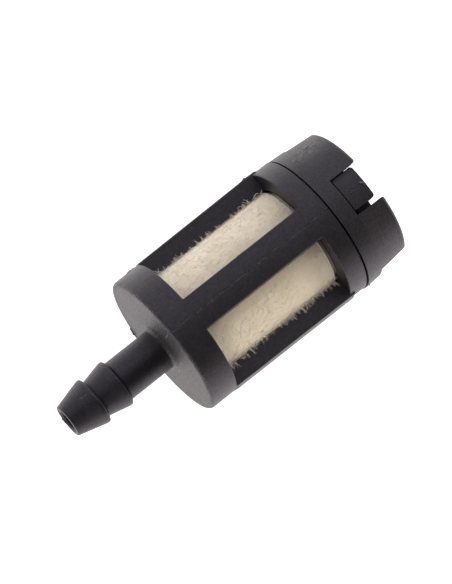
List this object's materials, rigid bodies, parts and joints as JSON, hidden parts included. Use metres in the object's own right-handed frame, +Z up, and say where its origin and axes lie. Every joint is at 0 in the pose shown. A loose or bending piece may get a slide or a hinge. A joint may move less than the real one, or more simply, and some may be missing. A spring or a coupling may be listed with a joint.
{
  "type": "fuel pick-up filter",
  "caption": "In-tank fuel pick-up filter: barbed hose nipple, open ribbed cage round a felt sleeve, and a notched push-fit end cap holding a sinker weight.",
  "frame": {"origin": "on the filter's axis, in the plane of the shoulder face where the hose stops", "axes": "+X along the filter from the hose nipple to the end cap; +Z up through one rib with the filter lying on its side; +Y completes the frame through the next rib"},
  "size_m": [0.0376, 0.0162, 0.016],
  "materials": {
    "black_nylon": "moulded black nylon, satin, with fine scuffs",
    "wool_felt": "undyed wool felt, off-white, with loose fibres",
    "nylon_mesh": "fine woven nylon mesh",
    "natural_nylon": "moulded natural nylon",
    "nitrile": "nitrile rubber",
    "weight_steel": "turned, zinc-plated steel"
  },
  "bodies": {
    "housing_body": {"housing": "black_nylon"},
    "cap": {"end_cap": "black_nylon", "sinker_weight": "weight_steel"},
    "element": {"strainer_core": "natural_nylon", "mesh_screen": "nylon_mesh", "felt_sleeve": "wool_felt", "felt_end_disc": "wool_felt", "outlet_washer": "nitrile"}
  },
  "joints": [
    {"name": "cap_pull", "type": "slide", "parent": "housing_body", "child": "cap", "axis": [1, 0, 0], "range_m": [0, 0.03]},
    {"name": "element_draw", "type": "slide", "parent": "housing_body", "child": "element", "axis": [1, 0, 0], "range_m": [0, 0.018]}
  ],
  "couplings": [
    {"joint": "element_draw", "follows": "cap_pull", "ratio": 0.6}
  ]
}
